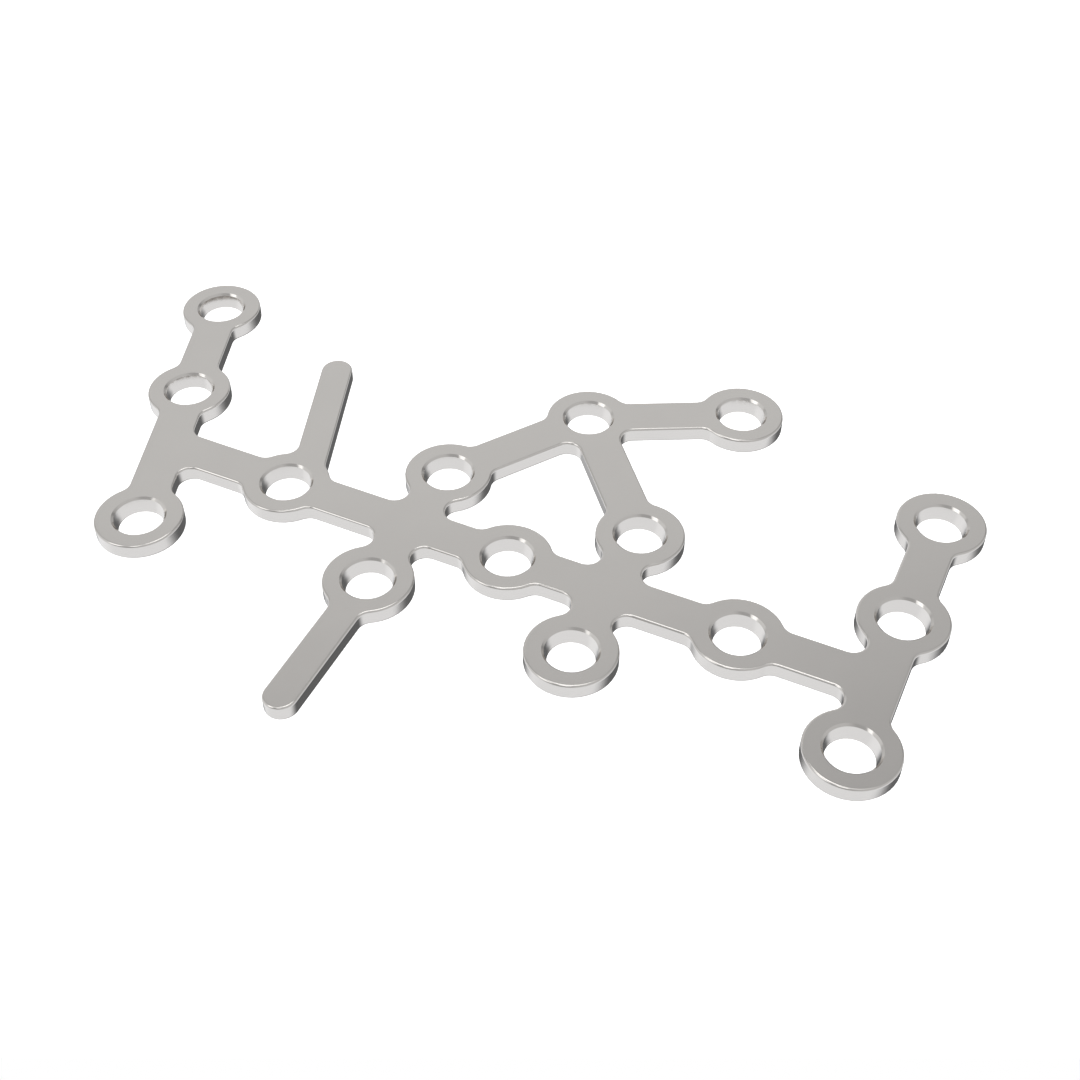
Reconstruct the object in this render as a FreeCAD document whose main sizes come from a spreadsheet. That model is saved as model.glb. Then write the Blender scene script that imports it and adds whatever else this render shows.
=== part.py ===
"""Flat bone plate for the outer side of a heel bone.

One piece of polished metal: fifteen round ends, each with a conical screw hole, joined by straight bars,
and two narrow tabs without holes. Millimetres. The frame's origin is on the underside, midway
between the four holes of the two cross bars. +X runs along the spine, +Y towards the fan of three bars,
+Z through the plate to the face that the screws enter.
"""

import FreeCAD, Part
import Sketcher

import math
import os

from FreeCAD import Vector

NODE = "bone_plate"

# Driving sizes, in millimetres and degrees
SIZES = {
    # the section
    "plate_thickness": 1.5,
    "ring_radius": 4.0,
    "bar_width": 3.98,
    "tab_width": 3.02,
    "corner_radius_wanted": 1.3,
    "crotch_radius_wanted": 1.35,
    "top_bevel": 0.12,
    "underside_bevel": 0.12,
    # the screw hole, from the top face down: a rim, a cone whose radius falls, a short straight land
    "rim_diameter": 4.96,
    "rim_width": 0.2,
    "rim_depth": 0.2,
    "seat_fall": 0.235,
    "land_height": 0.05,
    # hole centres along the spine
    "left_joint_x": -35.507,
    "spine_left_x": -22.436,
    "cross_reach": 9.586,
    "spine_middle_x": 0.148,
    "spine_right_x": 21.437,
    "column_x": 33.477,
    # rows of holes across the spine
    "inner_row": 7.474,
    "outer_row": 20.071,
    # the slanted column at the left end
    "slant_angle": 110.0,
    "slant_low_y": -9.429,
    # the fan above the spine
    "fan_root_x": -0.943,
    "fan_tip_x": 12.202,
    "fan_tip_y": 26.749,
    # the tabs: where the slanted one's centre line meets the spine, and where both rounds are centred
    "slant_tab_x": -20.721,
    "slant_tab_y": 16.222,
    "low_tab_y": -21.624,
}

document = FreeCAD.newDocument("BonePlate")


def size_sheet(sizes):
    """A spreadsheet with one named cell for each driving size."""
    sheet = document.addObject("Spreadsheet::Sheet", "Sizes")
    for row, (name, value) in enumerate(sizes.items(), start=1):
        sheet.set("A%d" % row, name.replace("_", " "))
        sheet.set("B%d" % row, str(value))
        sheet.setAlias("B%d" % row, name)
    document.recompute()
    return sheet


sheet = size_sheet(SIZES)


def on_slant(foot, height):
    """A place on a line with the left column's slant that crosses the spine at foot, as two expressions."""
    return "%s + %s / tan(Sizes.slant_angle * 1deg)" % (foot, height), height


# Places in the plan: the hole centres first, then the points that only bars and tabs use
HOLES = {
    "slant_top": on_slant("Sizes.left_joint_x", "Sizes.outer_row"),
    "slant_middle": on_slant("Sizes.left_joint_x", "Sizes.inner_row"),
    "slant_low": on_slant("Sizes.left_joint_x", "Sizes.slant_low_y"),
    "spine_left": ("Sizes.spine_left_x", "0"),
    "spine_middle": ("Sizes.spine_middle_x", "0"),
    "spine_right": ("Sizes.spine_right_x", "0"),
    "cross_left_up": ("-Sizes.cross_reach", "Sizes.inner_row"),
    "cross_left_down": ("-Sizes.cross_reach", "-Sizes.inner_row"),
    "cross_right_up": ("Sizes.cross_reach", "Sizes.inner_row"),
    "cross_right_down": ("Sizes.cross_reach", "-Sizes.inner_row"),
    "fan_root": ("Sizes.fan_root_x", "Sizes.outer_row"),
    "fan_tip": ("Sizes.fan_tip_x", "Sizes.fan_tip_y"),
    "column_up": ("Sizes.column_x", "Sizes.inner_row"),
    "column_top": ("Sizes.column_x", "Sizes.outer_row"),
    "column_down": ("Sizes.column_x", "-Sizes.inner_row"),
}
JOINTS = {
    "spine_start": ("Sizes.left_joint_x", "0"),
    "spine_end": ("Sizes.column_x", "0"),
    "slant_tab_foot": ("Sizes.slant_tab_x", "0"),
    "slant_tab_end": on_slant("Sizes.slant_tab_x", "Sizes.slant_tab_y"),
    "low_tab_end": ("-Sizes.cross_reach", "Sizes.low_tab_y"),
}
PLACES = {**HOLES, **JOINTS}

BARS = {
    "spine": ("spine_start", "spine_end"),
    "slant": ("slant_low", "slant_top"),
    "cross_left": ("cross_left_down", "cross_left_up"),
    "cross_right": ("cross_right_down", "cross_right_up"),
    "column": ("column_down", "column_top"),
    "fan_left": ("cross_left_up", "fan_root"),
    "fan_right": ("fan_root", "cross_right_up"),
    "fan_top": ("fan_root", "fan_tip"),
}
TABS = {
    "slant_tab": ("slant_tab_foot", "slant_tab_end"),
    "low_tab": ("cross_left_down", "low_tab_end"),
}


def value(expression):
    """The number that an expression on the sheet gives now."""
    return float(sheet.evalExpression(expression))


def point(place):
    """A named place as a point in the plan."""
    across, along = PLACES[place]
    return Vector(value(across), value(along), 0)


# The corner radius stays just short of the arc that would touch a bar, the spine and a ring at once, and
# the crotch radius is large enough for its arc to pass outside the fan root's ring.
NOTCH = "(Sizes.inner_row + Sizes.ring_radius - Sizes.bar_width / 2)"
CORNER_LIMIT = (
    "(%s - sqrt(%s ^ 2 - Sizes.inner_row ^ 2 + (Sizes.ring_radius - Sizes.bar_width / 2) ^ 2)"
    " - Sizes.bar_width / 2)" % (NOTCH, NOTCH)
)
CORNER_RADIUS = "min(Sizes.corner_radius_wanted; 0.99 * %s)" % CORNER_LIMIT

# Where the rim meets the cone, and where the cone meets the straight land at the underside
THROAT_RADIUS = "(Sizes.rim_diameter / 2 - Sizes.rim_width)"
LAND_RADIUS = "(%s - Sizes.seat_fall)" % THROAT_RADIUS


def half_gap_sine(place, end_a, end_b):
    """Sine of half the angle between two bars that leave one place."""
    a = (point(end_a) - point(place)).normalize()
    b = (point(end_b) - point(place)).normalize()
    return math.sqrt((1 - a.dot(b)) / 2)


body = document.addObject("PartDesign::Body", "BonePlate")
body.Label = NODE


def origin_plane(role):
    """One of the body's own origin planes."""
    return next(o for o in body.Origin.OriginFeatures if o.Role == role)


def new_sketch(name):
    """An empty sketch on the underside's plane."""
    sketch = body.newObject("Sketcher::SketchObject", name)
    sketch.AttachmentSupport = [(origin_plane("XY_Plane"), "")]
    sketch.MapMode = "FlatFace"
    return sketch


def hold_point(sketch, name, geometry, which, place):
    """Tie a point of the sketch to a named place, each way by its own expression."""
    axes = ((0, "DistanceX", -2), (1, "DistanceY", -1))
    for index, kind, axis in axes:
        expression = PLACES[place][index]
        if expression == "0":
            sketch.addConstraint(Sketcher.Constraint("PointOnObject", geometry, which, axis))
            continue
        label = "%s_%s" % (name, kind)
        number = value(expression)
        sketch.addConstraint(Sketcher.Constraint(kind, -1, 1, geometry, which, number))
        sketch.renameConstraint(sketch.ConstraintCount - 1, label)
        sketch.setExpression("Constraints." + label, expression)


def hold_size(sketch, label, constraint, expression):
    """Add a size to the sketch and bind it to an expression."""
    sketch.addConstraint(constraint)
    sketch.renameConstraint(sketch.ConstraintCount - 1, label)
    sketch.setExpression("Constraints." + label, expression)


def pad(name, sketch):
    """Raise a sketch from the underside to the plate's full thickness."""
    feature = body.newObject("PartDesign::Pad", name)
    feature.Profile = sketch
    feature.setExpression("Length", "Sizes.plate_thickness")
    sketch.Visibility = False
    document.recompute()
    return feature


def bar(name, start, end):
    """A straight bar between two places, square across both of them."""
    a, b = point(start), point(end)
    side = (b - a).normalize().cross(Vector(0, 0, 1)) * (value("Sizes.bar_width") / 2)
    corners = [a + side, b + side, b - side, a - side]
    sketch = new_sketch(name + "_plan")
    for i in range(4):
        sketch.addGeometry(Part.LineSegment(corners[i], corners[(i + 1) % 4]), False)
    for i in range(4):
        sketch.addConstraint(Sketcher.Constraint("Coincident", i, 2, (i + 1) % 4, 1))
    ends = [sketch.addGeometry(Part.Point(p), True) for p in (a, b)]
    hold_point(sketch, "start", ends[0], 1, start)
    hold_point(sketch, "end", ends[1], 1, end)
    sketch.addConstraint(Sketcher.Constraint("Symmetric", 3, 1, 3, 2, ends[0], 1))
    sketch.addConstraint(Sketcher.Constraint("Symmetric", 1, 1, 1, 2, ends[1], 1))
    sketch.addConstraint(Sketcher.Constraint("Perpendicular", 0, 1))
    sketch.addConstraint(Sketcher.Constraint("Perpendicular", 0, 3))
    width = Sketcher.Constraint("Distance", 3, value("Sizes.bar_width"))
    hold_size(sketch, "width", width, "Sizes.bar_width")
    return pad(name, sketch)


def tab(name, start, end):
    """A narrow bar that ends in a full round centred on its far place."""
    a, b = point(start), point(end)
    radius = value("Sizes.tab_width") / 2
    forward = (b - a).normalize()
    side = forward.cross(Vector(0, 0, 1)) * radius
    sketch = new_sketch(name + "_plan")
    sketch.addGeometry(Part.LineSegment(a + side, b + side), False)
    sketch.addGeometry(Part.Arc(b + side, b + forward * radius, b - side), False)
    sketch.addGeometry(Part.LineSegment(b - side, a - side), False)
    sketch.addGeometry(Part.LineSegment(a - side, a + side), False)
    # the arc turns counter-clockwise, so its first end is the one after the first side
    sketch.addConstraint(Sketcher.Constraint("Tangent", 0, 2, 1, 1))
    sketch.addConstraint(Sketcher.Constraint("Tangent", 1, 2, 2, 1))
    sketch.addConstraint(Sketcher.Constraint("Coincident", 2, 2, 3, 1))
    sketch.addConstraint(Sketcher.Constraint("Coincident", 3, 2, 0, 1))
    foot = sketch.addGeometry(Part.Point(a), True)
    hold_point(sketch, "foot", foot, 1, start)
    hold_point(sketch, "round", 1, 3, end)
    sketch.addConstraint(Sketcher.Constraint("Symmetric", 3, 1, 3, 2, foot, 1))
    sketch.addConstraint(Sketcher.Constraint("Perpendicular", 0, 3))
    hold_size(sketch, "radius", Sketcher.Constraint("Radius", 1, radius), "Sizes.tab_width / 2")
    return pad(name, sketch)


def circles(name, radius):
    """A sketch with one circle on each hole centre, all of the same radius."""
    sketch = new_sketch(name)
    for place in HOLES:
        circle = Part.Circle(point(place), Vector(0, 0, 1), value(radius))
        geometry = sketch.addGeometry(circle, False)
        hold_point(sketch, place, geometry, 3, place)
        if geometry:
            sketch.addConstraint(Sketcher.Constraint("Equal", 0, geometry))
    hold_size(sketch, "radius", Sketcher.Constraint("Radius", 0, value(radius)), radius)
    return sketch


def plan_strips():
    """Every bar and tab as (start, end, half its width, radius of the round past its end)."""
    half_bar, half_tab = value("Sizes.bar_width") / 2, value("Sizes.tab_width") / 2
    bars = [(point(start), point(end), half_bar, 0) for start, end in BARS.values()]
    tabs = [(point(start), point(end), half_tab, half_tab) for start, end in TABS.values()]
    return bars + tabs


def on_strip(place, start, end, half_width, round_radius):
    """Whether a place lies on one straight strip, or on the round past its end."""
    forward = (end - start).normalize()
    along = (place - start).dot(forward)
    across = (place - start).cross(forward).Length
    if 0 <= along <= start.distanceToPoint(end):
        return across <= half_width
    return round_radius > 0 and place.distanceToPoint(end) <= round_radius


def inner_corners(shape, ring_radius):
    """The upright edges where material fills more than half of the space around them, with their places.

    The material is told from the plan: the strips, and discs of the given radius on the hole centres.
    """
    probe = 0.05
    steps = 36
    turns = [2 * math.pi * (i + 0.5) / steps for i in range(steps)]
    ways = [Vector(math.cos(turn), math.sin(turn), 0) * probe for turn in turns]
    strips, centres = plan_strips(), [point(hole) for hole in HOLES]

    def filled(place):
        on_ring = any(place.distanceToPoint(c) <= ring_radius for c in centres)
        return on_ring or any(on_strip(place, *strip) for strip in strips)

    found = []
    for number, edge in enumerate(shape.Edges, start=1):
        box = edge.BoundBox
        if math.hypot(box.XLength, box.YLength) > 1e-4:
            continue
        at = Vector(edge.Vertexes[0].X, edge.Vertexes[0].Y, 0)
        if sum(filled(at + way) for way in ways) > 0.55 * steps:
            found.append(("Edge%d" % number, at))
    return found


def rounding(name, base, edges, radius):
    """Round some edges of a feature, with the radius as an expression."""
    feature = body.newObject("PartDesign::Fillet", name)
    feature.Base = (base, edges)
    feature.Radius = value(radius)
    feature.setExpression("Radius", radius)
    document.recompute()
    return feature


def bevel(name, base, edges, size):
    """Cut some edges of a feature at 45 degrees, with the size as an expression."""
    feature = body.newObject("PartDesign::Chamfer", name)
    feature.Base = (base, edges)
    feature.Size = value(size)
    feature.setExpression("Size", size)
    document.recompute()
    return feature


def crotch_rounding(base):
    """Round the two crotches between the fan's bars, before the fan root's ring covers their corners."""
    root = point("fan_root")
    ring_radius, half_width = value("Sizes.ring_radius"), value("Sizes.bar_width") / 2
    edges = [
        edge
        for edge, at in inner_corners(base.Shape, 0)
        if 1.5 * half_width < math.hypot(at.x - root.x, at.y - root.y) < ring_radius
    ]
    limits = []
    for ends in (("cross_left_up", "cross_right_up"), ("cross_right_up", "fan_tip")):
        sine = half_gap_sine("fan_root", *ends)
        limits.append(
            "(Sizes.ring_radius + 0.02 - Sizes.bar_width / 2 / %.6f) / (1 / %.6f - 1)" % (sine, sine)
        )
    radius = "max(Sizes.crotch_radius_wanted; %s)" % "; ".join(limits)
    return rounding("crotches", base, edges, radius)


def screw_holes(base):
    """Fifteen holes: a 45 degree rim, a cone down to a short cylindrical land at the underside."""
    land_plan = circles("land_plan", LAND_RADIUS)
    land = body.newObject("PartDesign::Pocket", "land")
    land.Profile = land_plan
    land.Reversed = True
    land.Type = "ThroughAll"
    document.recompute()

    seat_plan = circles("seat_plan", LAND_RADIUS)
    seat_plan.setExpression("AttachmentOffset.Base.z", "Sizes.plate_thickness")
    document.recompute()
    seat = body.newObject("PartDesign::Hole", "seat")
    seat.Profile = seat_plan
    document.recompute()
    seat.DepthType = "Dimension"
    seat.DrillPoint = "Flat"
    seat.Tapered = True
    seat.HoleCutType = "Countersink"
    seat.HoleCutCustomValues = True
    cone_height = "(Sizes.plate_thickness - Sizes.rim_depth - Sizes.land_height)"
    slope = "(Sizes.seat_fall / %s)" % cone_height
    mouth = "2 * (%s + Sizes.rim_depth * %s)" % (THROAT_RADIUS, slope)
    seat.setExpression("Diameter", mouth)
    seat.setExpression("Depth", "Sizes.plate_thickness - Sizes.land_height")
    seat.setExpression("TaperedAngle", "90deg - atan(%s)" % slope)
    seat.setExpression("HoleCutDiameter", "Sizes.rim_diameter")
    seat.setExpression("HoleCutCountersinkAngle", "2 * atan(Sizes.rim_width / Sizes.rim_depth)")
    for sketch in (land_plan, seat_plan):
        sketch.Visibility = False
    document.recompute()
    return seat


def outline_edges(shape, level):
    """Names of the edges that bound the plate's plan at one level, without those of the holes."""
    largest = value("Sizes.rim_diameter") / 2 + 0.1
    centres = [point(place) for place in HOLES]
    names = []
    for number, edge in enumerate(shape.Edges, start=1):
        box = edge.BoundBox
        if abs(box.ZMin - level) > 1e-4 or abs(box.ZMax - level) > 1e-4:
            continue
        middle = edge.valueAt((edge.FirstParameter + edge.LastParameter) / 2)
        reach = min(math.hypot(middle.x - c.x, middle.y - c.y) for c in centres)
        if reach > largest:
            names.append("Edge%d" % number)
    return names


for name, (start, end) in BARS.items():
    last = bar(name, start, end)
for name, (start, end) in TABS.items():
    last = tab(name, start, end)
last = crotch_rounding(last)
last = pad("rings", circles("rings_plan", "Sizes.ring_radius"))
corners = [edge for edge, at in inner_corners(last.Shape, value("Sizes.ring_radius"))]
last = rounding("corners", last, corners, CORNER_RADIUS)
print("corners rounded:", len(corners), "radius", float(last.Radius))
last = screw_holes(last)
for name, level in (("top", value("Sizes.plate_thickness")), ("underside", 0.0)):
    last = bevel(name + "_edge", last, outline_edges(last.Shape, level), "Sizes.%s_bevel" % name)
body.Tip = last
document.recompute()


def check(shape):
    """Stop unless every object is sound and the plate is one valid solid."""
    for item in document.Objects:
        states = [s for s in item.State if s in ("Invalid", "Error")]
        if states:
            raise RuntimeError("%s is %s" % (item.Name, states))
    if shape.isNull() or not shape.isValid() or len(shape.Solids) != 1:
        raise RuntimeError("%s isn't one valid solid" % NODE)


check(body.Shape)
os.makedirs("parts", exist_ok=True)
body.Shape.exportStep("parts/%s.step" % NODE)
box = body.Shape.BoundBox
print(NODE, "volume %.2f mm3" % body.Shape.Volume, "faces", len(body.Shape.Faces))
print("size %.3f x %.3f x %.3f mm" % (box.XLength, box.YLength, box.ZLength))
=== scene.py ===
import math

import bmesh
import bpy
import numpy as np
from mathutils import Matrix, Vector


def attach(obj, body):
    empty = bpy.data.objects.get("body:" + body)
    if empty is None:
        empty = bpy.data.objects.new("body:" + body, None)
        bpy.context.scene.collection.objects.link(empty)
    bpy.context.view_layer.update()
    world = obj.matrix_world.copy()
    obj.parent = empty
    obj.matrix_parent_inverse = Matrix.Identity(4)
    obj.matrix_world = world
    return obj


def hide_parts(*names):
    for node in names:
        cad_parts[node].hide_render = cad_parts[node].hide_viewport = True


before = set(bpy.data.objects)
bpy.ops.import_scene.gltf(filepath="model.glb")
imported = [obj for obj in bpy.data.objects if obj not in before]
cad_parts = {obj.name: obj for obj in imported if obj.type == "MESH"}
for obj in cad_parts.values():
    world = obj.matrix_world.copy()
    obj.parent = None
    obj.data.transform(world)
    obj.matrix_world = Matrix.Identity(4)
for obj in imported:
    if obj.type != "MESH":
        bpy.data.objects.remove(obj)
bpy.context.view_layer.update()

plate_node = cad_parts["bone_plate"]

# The camera looks down at 45 degrees, turned 25 degrees to the plate's right.
# Its place was fitted, so that the plate fills the frame as in the photograph.
CAMERA_TURN = math.radians(25)
CAMERA_TILT = math.radians(45)
CAMERA_PLACE = (0.041442, -0.081867, 0.0951)

# How much of a face's normal is upright: above LEVEL the face is level, up to
# STEEP it is a wall or a seat, and below UPRIGHT it is a wall.
LEVEL = 0.99
STEEP = 0.5
UPRIGHT = 0.05
# A strip of faces is a screw hole where its seat is more than this share of it.
SEAT_SHARE = 0.25

# The turns that a rounded edge is cut into.
EDGE_STEPS = 6

# The steel's two tones, its roughness, how far the roughness wanders, how much
# smoother the edges are, the grain's height in metres, and how many times a
# metre the cloud and the grain repeat.
DULL_STEEL = (0.705, 0.683, 0.658, 1.0)
BRIGHT_STEEL = (0.719, 0.697, 0.671, 1.0)
SATIN = 0.14
HAZE = 0.02
POLISH = 0.06
GRAIN_HEIGHT = 1e-6
CLOUD_SCALE = 140.0
GRAIN_SCALE = 6500.0

WHITE = (1.0, 1.0, 1.0, 1.0)
FLOOR_PAINT = (0.9, 0.9, 0.9, 1.0)
FLOOR_HALF_SIDE = 1.5

# The room that the steel mirrors. Places are the azimuth from the front towards
# the right and the height above the level, both in degrees; 1 is white. They
# were set by comparing the steel's reflections with the photograph's, and
# back_screen's were fitted to the shading of the level face.
UPPER_WALL = 0.455
LOWER_WALL = 0.975
LOWER_TINT = (0.988, 1.0, 1.024, 1.0)
# the sines of the heights between which the lower wall turns into the upper
WALL_CHANGE = (-0.17, 0.03)
# upright bands on the upper wall: azimuth, half-width where it is full, where it
# ends, brightness added
BANDS = {
    "right_window": (79, 25, 72, 0.165),
    "left_window": (-63, 20, 38, 0.31),
}
# round patches: azimuth, height, radius where it is full, where it ends,
# brightness added
PATCHES = {
    "back_screen": (-149.5, -5, 45, 65.6, 0.242),
    "back_gap": (-110, 20, 8, 22, -0.08),
    "side_gap": (168, 8, 12, 33, -0.22),
    "front_lamp": (-42, 45, 12, 14, 0.82),
    "left_lamp": (-72, 61, 6, 9, 0.75),
    "top_lamp": (-150, 88, 14, 26, 0.32),
    "high_lamp": (-155, 68.5, 7, 9.5, 2.2),
    "near_lamp": (2, 67, 7, 9.5, 1.4),
}
# the same five for the lower wall: a glow that is added, and a shade that
# takes away its share
LOW_GLOW = (-76, -25, 10, 32, 0.10)
LOW_SHADE = (178, -61, 26, 52, -0.85)


def read(collection, field, width, kind=float):
    """One field of every element, as an array with a row for each."""
    values = np.empty(len(collection) * width, kind)
    collection.foreach_get(field, values)
    return values.reshape(-1, width) if width > 1 else values


def joined_triangles(node):
    """The node's points, with the ones that coincide joined, and its triangles."""
    mesh = node.data.copy()
    shell = bmesh.new()
    shell.from_mesh(mesh)
    bmesh.ops.remove_doubles(shell, verts=shell.verts, dist=1e-7)
    bmesh.ops.triangulate(shell, faces=shell.faces)
    shell.to_mesh(mesh)
    shell.free()
    points = read(mesh.vertices, "co", 3)
    triangles = read(mesh.loops, "vertex_index", 1, int).reshape(-1, 3)
    bpy.data.meshes.remove(mesh)
    return points, triangles


def unit(vectors):
    """Each row divided by its length, and a row of zeros left as it is."""
    length = np.linalg.norm(vectors, axis=-1, keepdims=True)
    return np.divide(vectors, length, out=np.zeros_like(vectors), where=length > 0)


def mean_normals(points, triangles, kind):
    """Per point, the sum of the area normals of the faces of one kind around it."""
    a, b, c = (points[triangles[kind, i]] for i in range(3))
    area_normals = np.cross(b - a, c - a)
    total = np.zeros_like(points)
    for i in range(3):
        np.add.at(total, triangles[kind, i], area_normals)
    return unit(total)


def hole_faces(triangles, height, area):
    """Whether each triangle is part of a screw hole.

    Without the level faces, the surface falls into separate strips: the
    outline, the fan's window and the holes. Each point takes the lowest number
    among the points of its triangles, again and again, until a strip has one.
    A strip is a hole where its seat is more than SEAT_SHARE of its area.
    """
    sloped = height <= LEVEL
    number = np.arange(triangles.max() + 1)
    settled = False
    while not settled:
        lower = number.copy()
        lowest = number[triangles[sloped]].min(1)
        np.minimum.at(lower, triangles[sloped], lowest[:, None])
        lower = lower[lower]
        settled = np.array_equal(lower, number)
        number = lower
    strip = number[triangles[:, 0]]
    seat = (height >= UPRIGHT) & (height <= STEEP)
    whole_area = np.bincount(strip, area * sloped, len(number))
    seat_area = np.bincount(strip, area * seat, len(number))
    return sloped & (seat_area > SEAT_SHARE * whole_area)[strip]


def rolled_edges(points, triangles, bevels, walls, steps):
    """The outline's flat bevels made into quarter rounds, on the same points.

    A bevel's triangle has one lone corner and two corners on its other side.
    The edges from the lone corner across the bevel are cut into equal turns.
    At turn t, from 0 on the level face to 90 degrees on the wall, a point is
    the outline's own point less its outward normal times radius times
    (1 - sin t), and its depth below the level face is radius times
    (1 - cos t). Its normal is the outward one times sin t plus the upright one
    times cos t. Returns the new points, the triangles and fours of the rounds,
    and the points' normals.
    """
    top = points[:, 2].max()
    on_top, on_base = points[:, 2] > top - 1e-6, points[:, 2] < 1e-6
    level = on_top | on_base
    upward = np.where(points[:, 2] > top / 2, 1.0, -1.0)
    slope = mean_normals(points, triangles, bevels)
    outward = np.where(level[:, None], slope, walls) * (1, 1, 0)
    outward = unit(outward)

    strip = triangles[bevels]
    levels = level[strip].sum(1)
    lone_is_level = levels == 1
    lone = np.where(lone_is_level[:, None], level[strip], ~level[strip]).argmax(1)
    rows = np.arange(len(strip))
    corner = [strip[rows, (lone + i) % 3] for i in range(3)]
    across = []
    for other in corner[1:]:
        high = np.where(lone_is_level, corner[0], other)
        low = np.where(lone_is_level, other, corner[0])
        across.append(np.stack([high, low], 1))
    edges, which = np.unique(np.concatenate(across), axis=0, return_inverse=True)
    left, right = which.ravel()[:len(strip)], which.ravel()[len(strip):]

    high, low = edges.T
    bevel_size = np.where(upward[low] > 0, top - points[low, 2], points[low, 2])
    radius = bevel_size / (2 - math.sqrt(2))
    outline_high = points[high] + outward[high] * bevel_size[:, None]
    part = (np.arange(steps + 1) / steps)[None, :, None]
    outline = outline_high[:, None] * (1 - part) + points[low][:, None] * part
    facing = unit(outward[high][:, None] * (1 - part) + outward[low][:, None] * part)
    turn = part * math.pi / 2
    round_points = outline - facing * radius[:, None, None] * (1 - np.sin(turn))
    depth = radius[:, None] * (1 - np.cos(turn[..., 0]))
    side = upward[low][:, None]
    round_points[..., 2] = np.where(side > 0, top - depth, depth)
    round_normals = facing * np.sin(turn)
    round_normals[..., 2] = side * np.cos(turn[..., 0])

    moved = points.copy()
    moved[high] = round_points[:, 0]
    moved[low] = round_points[:, -1]
    inner = len(points) + np.arange(len(edges) * (steps - 1)).reshape(-1, steps - 1)
    number = np.concatenate([high[:, None], inner, low[:, None]], 1)
    all_points = np.concatenate([moved, round_points[:, 1:-1].reshape(-1, 3)])
    point_normals = np.zeros_like(all_points)
    point_normals[number.ravel()] = round_normals.reshape(-1, 3)

    from_lone = np.where(lone_is_level[:, None], np.arange(steps + 1),
                         np.arange(steps, -1, -1))
    first = np.take_along_axis(number[left], from_lone, 1)
    second = np.take_along_axis(number[right], from_lone, 1)
    tips = np.stack([first[:, 0], first[:, 1], second[:, 1]], 1)
    fours = np.stack([first[:, 1:-1], first[:, 2:], second[:, 2:], second[:, 1:-1]], 2)
    return all_points, tips, fours.reshape(-1, 4), point_normals


def plate_surface(node, steps=EDGE_STEPS):
    """The whole plate as one closed surface, with its shading normals.

    Level faces keep their own normal. Walls, hole seats, hole lands and hole
    rims are each smooth along themselves and crisp against each other. The
    edge attribute is the sine of twice a round's turn: 1 on the middle of a
    rounded edge and 0 on the faces that it joins. It makes the rounds smoother,
    and it lifts their colour partly as polish wear and partly as a painted highlight.
    """
    points, triangles = joined_triangles(node)
    corners = points[triangles]
    area_normals = np.cross(corners[:, 1] - corners[:, 0], corners[:, 2] - corners[:, 0])
    normals = unit(area_normals)
    height = abs(normals[:, 2])
    in_hole = hole_faces(triangles, height, np.linalg.norm(area_normals, axis=1))
    level = height > LEVEL
    bevels = (height > STEEP) & ~level & ~in_hole
    kinds = [(height <= STEEP) & ~in_hole, (height < UPRIGHT) & in_hole,
             (height >= UPRIGHT) & (height <= STEEP) & in_hole,
             (height > STEEP) & ~level & in_hole]
    smooth = [mean_normals(points, triangles, kind) for kind in kinds]
    shading = np.repeat(normals[:, None], 3, 1)
    for kind, means in zip(kinds, smooth):
        shading[kind] = means[triangles[kind]]
    shading[level] *= (0, 0, 1)
    points, tips, fours, point_normals = rolled_edges(
        points, triangles, bevels, smooth[0], steps)
    kept = triangles[~bevels]
    loops = np.concatenate([kept.ravel(), tips.ravel(), fours.ravel()])
    sizes = np.repeat([3, 4], [len(kept) + len(tips), len(fours)])
    loop_normals = np.concatenate([shading[~bevels].reshape(-1, 3),
                                   point_normals[tips.ravel()],
                                   point_normals[fours.ravel()]])
    mesh = bpy.data.meshes.new("plate_surface")
    mesh.vertices.add(len(points))
    mesh.vertices.foreach_set("co", points.ravel())
    mesh.loops.add(len(loops))
    mesh.loops.foreach_set("vertex_index", loops.astype(np.int32))
    mesh.polygons.add(len(sizes))
    mesh.polygons.foreach_set("loop_start", (np.cumsum(sizes) - sizes).astype(np.int32))
    mesh.polygons.foreach_set("loop_total", sizes.astype(np.int32))
    mesh.update(calc_edges=True)
    if mesh.validate(verbose=True):
        raise RuntimeError("the plate's surface has faces that don't hold")
    mesh.shade_smooth()
    upright = abs(point_normals[:, 2])
    # The rounds' mask: it smooths their roughness and lifts their colour as a painted
    # highlight.
    polish = mesh.attributes.new("edge_polish_and_sheen", "FLOAT", "POINT")
    sideways = np.sqrt(np.clip(1 - upright ** 2, 0, 1))
    polish.data.foreach_set("value", 2 * upright * sideways)
    mesh.normals_split_custom_set(unit(loop_normals).tolist())
    piece = bpy.data.objects.new("plate_surface", mesh)
    bpy.context.scene.collection.objects.link(piece)
    return piece


def new_nodes(owner):
    """An empty node tree on a material or the world."""
    owner.use_nodes = True
    owner.node_tree.nodes.clear()
    return owner.node_tree


def add_node(tree, kind, **fields):
    """A node of this kind, with its fields and its plain socket values set."""
    node = tree.nodes.new(kind)
    for name, value in fields.items():
        if hasattr(node, name):
            setattr(node, name, value)
        else:
            node.inputs[name].default_value = value
    return node


def link(tree, source, target):
    """The source socket joined to the target socket."""
    tree.links.new(source, target)


def calculate(tree, operation, first, second):
    """A Math node on two values, each a plain number or another node's output."""
    node = tree.nodes.new("ShaderNodeMath")
    node.operation = operation
    for socket, value in zip(node.inputs, (first, second)):
        if isinstance(value, (int, float)):
            socket.default_value = value
        else:
            link(tree, value, socket)
    return node.outputs[0]


def soft_step(tree, value, start, end, low, high):
    """An even, smooth rise from low at start to high at end."""
    node = tree.nodes.new("ShaderNodeMapRange")
    node.interpolation_type = "SMOOTHSTEP"
    link(tree, value, node.inputs["Value"])
    names = ("From Min", "From Max", "To Min", "To Max")
    for name, number in zip(names, (start, end, low, high)):
        node.inputs[name].default_value = number
    return node.outputs["Result"]


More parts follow.
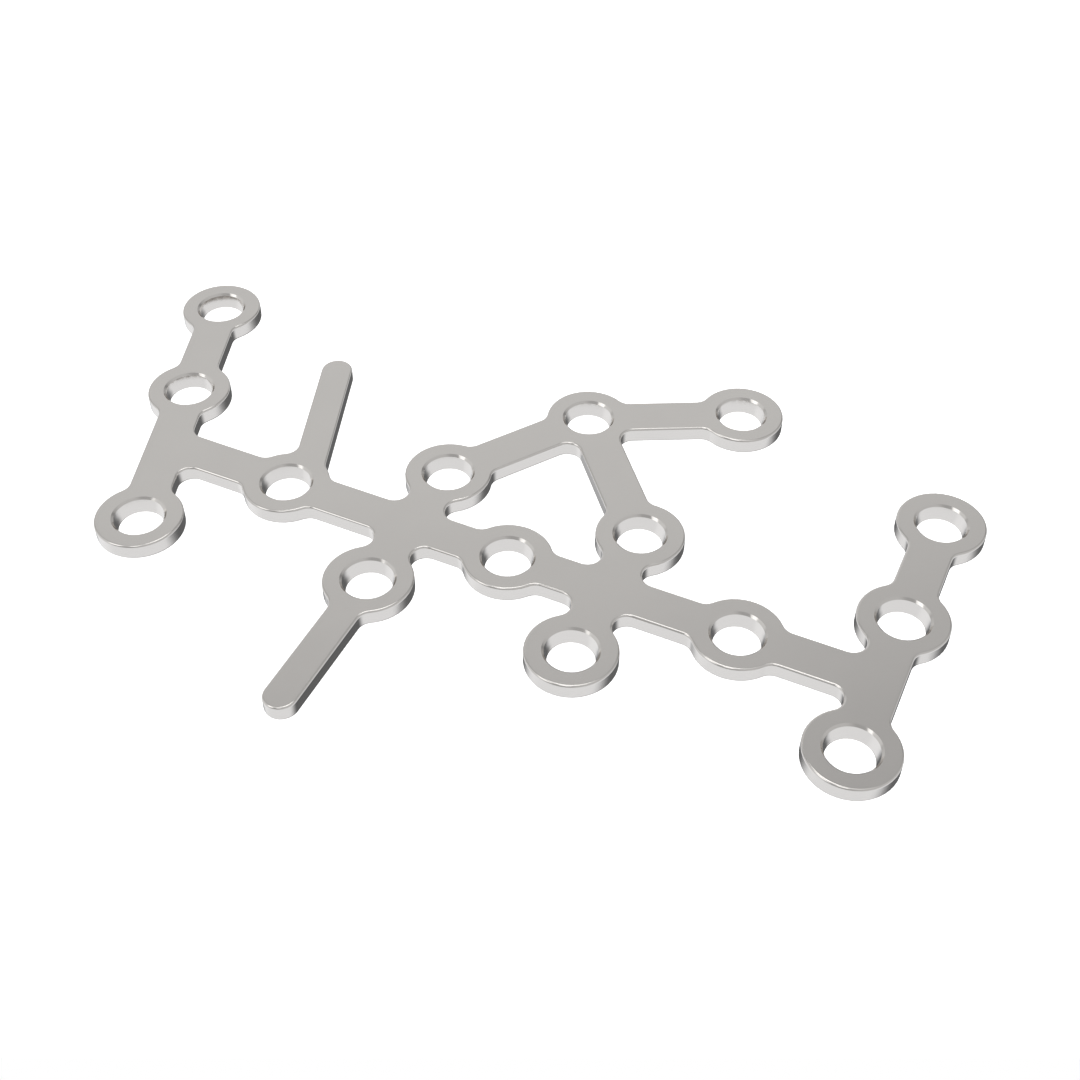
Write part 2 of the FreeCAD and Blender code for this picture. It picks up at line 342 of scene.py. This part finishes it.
def colour_mix(tree, share, first, second):
    """The colour that runs from first to second as share runs from 0 to 1."""
    node = add_node(tree, "ShaderNodeMix", data_type="RGBA")
    link(tree, share, node.inputs["Factor"])
    ends = [socket for socket in node.inputs if socket.type == "RGBA"]
    for socket, colour in zip(ends, (first, second)):
        if isinstance(colour, tuple):
            socket.default_value = colour
        else:
            link(tree, colour, socket)
    return next(socket for socket in node.outputs if socket.type == "RGBA")


def tumbled_finish():
    """The finish that tumbling in fine media leaves on ground metal.

    Cloud is slow noise a few millimetres wide, eased to run from 0 to 1. Grain
    is fine noise about 0.15 mm wide. The colour runs from dull to bright with
    the cloud, and it is brightest on the rounded edges, partly as polish wear and
    partly as a painted highlight. The roughness is the given one plus haze
    times (cloud - 0.5) plus a third of haze times (grain - 0.5), less the
    polish on the edges. Height is the grain.
    """
    group = bpy.data.node_groups.new("tumbled_finish", "ShaderNodeTree")
    sockets = [("Place", "INPUT", "NodeSocketVector"), ("Edge", "INPUT", "NodeSocketFloat"),
               ("Dull", "INPUT", "NodeSocketColor"), ("Bright", "INPUT", "NodeSocketColor"),
               ("Satin", "INPUT", "NodeSocketFloat"), ("Haze", "INPUT", "NodeSocketFloat"),
               ("Polish", "INPUT", "NodeSocketFloat"),
               ("Color", "OUTPUT", "NodeSocketColor"),
               ("Roughness", "OUTPUT", "NodeSocketFloat"),
               ("Height", "OUTPUT", "NodeSocketFloat")]
    for name, way, kind in sockets:
        group.interface.new_socket(name, in_out=way, socket_type=kind)
    given = group.nodes.new("NodeGroupInput").outputs
    made = group.nodes.new("NodeGroupOutput").inputs
    slow = add_node(group, "ShaderNodeTexNoise", Scale=CLOUD_SCALE, Detail=3.0)
    fine = add_node(group, "ShaderNodeTexNoise", Scale=GRAIN_SCALE, Detail=2.0)
    for noise in (slow, fine):
        link(group, given["Place"], noise.inputs["Vector"])
    cloud = soft_step(group, slow.outputs[0], 0.33, 0.67, 0.0, 1.0)
    grain = fine.outputs[0]
    # Brighter with the cloud, and brighter on the rounded edges: partly polish wear, partly
    # a painted highlight.
    tone_and_edge_sheen = calculate(group, "MAXIMUM", cloud, given["Edge"])
    colour = colour_mix(group, tone_and_edge_sheen, given["Dull"], given["Bright"])
    link(group, colour, made["Color"])
    slow_part = calculate(group, "SUBTRACT", cloud, 0.5)
    fine_part = calculate(group, "SUBTRACT", grain, 0.5)
    fine_part = calculate(group, "MULTIPLY", fine_part, 0.33)
    both = calculate(group, "MULTIPLY", calculate(group, "ADD", slow_part, fine_part),
                     given["Haze"])
    rubbed = calculate(group, "MULTIPLY", given["Edge"], given["Polish"])
    satin = calculate(group, "SUBTRACT", calculate(group, "ADD", both, given["Satin"]),
                      rubbed)
    link(group, satin, made["Roughness"])
    link(group, grain, made["Height"])
    return group


def satin_steel():
    """Ground and tumbled steel: one even satin, faintly clouded, with polished edges."""
    material = bpy.data.materials.new("satin_steel")
    tree = new_nodes(material)
    place = tree.nodes.new("ShaderNodeTexCoord")
    # The rounds' mask, used for their polish and for a painted highlight in the colour.
    edge = add_node(tree, "ShaderNodeAttribute", attribute_name="edge_polish_and_sheen")
    finish = tree.nodes.new("ShaderNodeGroup")
    finish.node_tree = tumbled_finish()
    for name, value in (("Dull", DULL_STEEL), ("Bright", BRIGHT_STEEL),
                        ("Satin", SATIN), ("Haze", HAZE), ("Polish", POLISH)):
        finish.inputs[name].default_value = value
    link(tree, place.outputs["Object"], finish.inputs["Place"])
    link(tree, edge.outputs["Fac"], finish.inputs["Edge"])
    shader = add_node(tree, "ShaderNodeBsdfPrincipled", Metallic=1.0)
    grain = add_node(tree, "ShaderNodeBump", Strength=0.4, Distance=GRAIN_HEIGHT)
    link(tree, finish.outputs["Color"], shader.inputs["Base Color"])
    link(tree, finish.outputs["Roughness"], shader.inputs["Roughness"])
    link(tree, finish.outputs["Height"], grain.inputs["Height"])
    link(tree, grain.outputs["Normal"], shader.inputs["Normal"])
    output = tree.nodes.new("ShaderNodeOutputMaterial")
    link(tree, shader.outputs[0], output.inputs[0])
    return material


def towards(azimuth, height):
    """The direction of a place in the room."""
    a, h = math.radians(azimuth), math.radians(height)
    return (math.sin(a) * math.cos(h), -math.cos(a) * math.cos(h), math.sin(h))


def straight_view(tree):
    """1 for rays that come straight, or through glass, from the camera."""
    rays = tree.nodes.new("ShaderNodeLightPath")
    return calculate(tree, "MAXIMUM", rays.outputs["Is Camera Ray"],
                     rays.outputs["Is Transmission Ray"])


def studio():
    """The room's light, worked out from the direction that a ray leaves in."""
    world = bpy.data.worlds.new("studio")
    bpy.context.scene.world = world
    tree = new_nodes(world)
    direction = tree.nodes.new("ShaderNodeTexCoord").outputs["Generated"]

    def turn(operation, first, second):
        node = tree.nodes.new("ShaderNodeVectorMath")
        node.operation = operation
        link(tree, first, node.inputs[0])
        if second:
            node.inputs[1].default_value = second
        return node

    def spot(way, azimuth, height, full, end, brightness):
        near = turn("DOT_PRODUCT", way, towards(azimuth, height)).outputs["Value"]
        return soft_step(tree, near, math.cos(math.radians(end)),
                         math.cos(math.radians(full)), 0.0, brightness)

    flat = turn("MULTIPLY", direction, (1, 1, 0)).outputs["Vector"]
    around = turn("NORMALIZE", flat, None).outputs["Vector"]
    upper = UPPER_WALL
    for azimuth, full, end, brightness in BANDS.values():
        band = spot(around, azimuth, 0, full, end, brightness)
        upper = calculate(tree, "ADD", band, upper)
    for patch in PATCHES.values():
        upper = calculate(tree, "ADD", spot(direction, *patch), upper)
    shade = calculate(tree, "ADD", spot(direction, *LOW_SHADE), 1.0)
    glow = calculate(tree, "ADD", spot(direction, *LOW_GLOW), LOWER_WALL)
    lower = calculate(tree, "MULTIPLY", glow, shade)
    height = tree.nodes.new("ShaderNodeSeparateXYZ")
    link(tree, direction, height.inputs[0])
    above = soft_step(tree, height.outputs["Z"], *WALL_CHANGE, 0.0, 1.0)
    below = calculate(tree, "SUBTRACT", 1.0, above)
    light = calculate(tree, "ADD", calculate(tree, "MULTIPLY", upper, above),
                      calculate(tree, "MULTIPLY", lower, below))
    room = tree.nodes.new("ShaderNodeBackground")
    link(tree, colour_mix(tree, above, LOWER_TINT, WHITE), room.inputs["Color"])
    link(tree, light, room.inputs["Strength"])
    white = add_node(tree, "ShaderNodeBackground", Color=WHITE)
    seen = tree.nodes.new("ShaderNodeMixShader")
    link(tree, straight_view(tree), seen.inputs[0])
    link(tree, room.outputs[0], seen.inputs[1])
    link(tree, white.outputs[0], seen.inputs[2])
    output = tree.nodes.new("ShaderNodeOutputWorld")
    link(tree, seen.outputs[0], output.inputs["Surface"])


def pale_floor():
    """A wide level sheet just under the plate.

    The camera sees it as plain white, because its own glow is already white
    before any light falls on it. Mirrored rays go through it to the room's
    lower wall, and a view from underneath looks through it at the plate.
    """
    mesh = bpy.data.meshes.new("pale_floor")
    half = FLOOR_HALF_SIDE
    mesh.from_pydata([(-half, -half, 0), (half, -half, 0), (half, half, 0),
                      (-half, half, 0)], [], [(0, 1, 2, 3)])
    floor = bpy.data.objects.new("pale_floor", mesh)
    bpy.context.scene.collection.objects.link(floor)
    material = bpy.data.materials.new("pale_floor")
    tree = new_nodes(material)
    diffuse = add_node(tree, "ShaderNodeBsdfDiffuse", Color=FLOOR_PAINT)
    glow = tree.nodes.new("ShaderNodeEmission")
    link(tree, straight_view(tree), glow.inputs["Strength"])
    lift = tree.nodes.new("ShaderNodeAddShader")
    link(tree, diffuse.outputs[0], lift.inputs[0])
    link(tree, glow.outputs[0], lift.inputs[1])
    clear = tree.nodes.new("ShaderNodeBsdfTransparent")
    rays = tree.nodes.new("ShaderNodeLightPath")
    side = tree.nodes.new("ShaderNodeNewGeometry")
    through = calculate(tree, "MAXIMUM", rays.outputs["Is Glossy Ray"],
                        side.outputs["Backfacing"])
    choose = tree.nodes.new("ShaderNodeMixShader")
    link(tree, through, choose.inputs[0])
    link(tree, lift.outputs[0], choose.inputs[1])
    link(tree, clear.outputs[0], choose.inputs[2])
    output = tree.nodes.new("ShaderNodeOutputMaterial")
    link(tree, choose.outputs[0], output.inputs["Surface"])
    mesh.materials.append(material)


def camera():
    """The photograph's view, through a 50 mm lens on a 36 mm frame."""
    lens = bpy.data.cameras.new("camera")
    lens.lens = 50
    lens.sensor_width = 36
    eye = bpy.data.objects.new("camera", lens)
    bpy.context.scene.collection.objects.link(eye)
    look = Vector((-math.sin(CAMERA_TURN) * math.cos(CAMERA_TILT),
                   math.cos(CAMERA_TURN) * math.cos(CAMERA_TILT),
                   -math.sin(CAMERA_TILT)))
    eye.location = CAMERA_PLACE
    eye.rotation_mode = "QUATERNION"
    eye.rotation_quaternion = look.to_track_quat("-Z", "Y")
    bpy.context.scene.camera = eye


plate = plate_surface(plate_node)
plate.data.materials.append(satin_steel())
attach(plate, "root")
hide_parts("bone_plate")

studio()
pale_floor()
camera()
bpy.context.scene.view_settings.view_transform = "Standard"
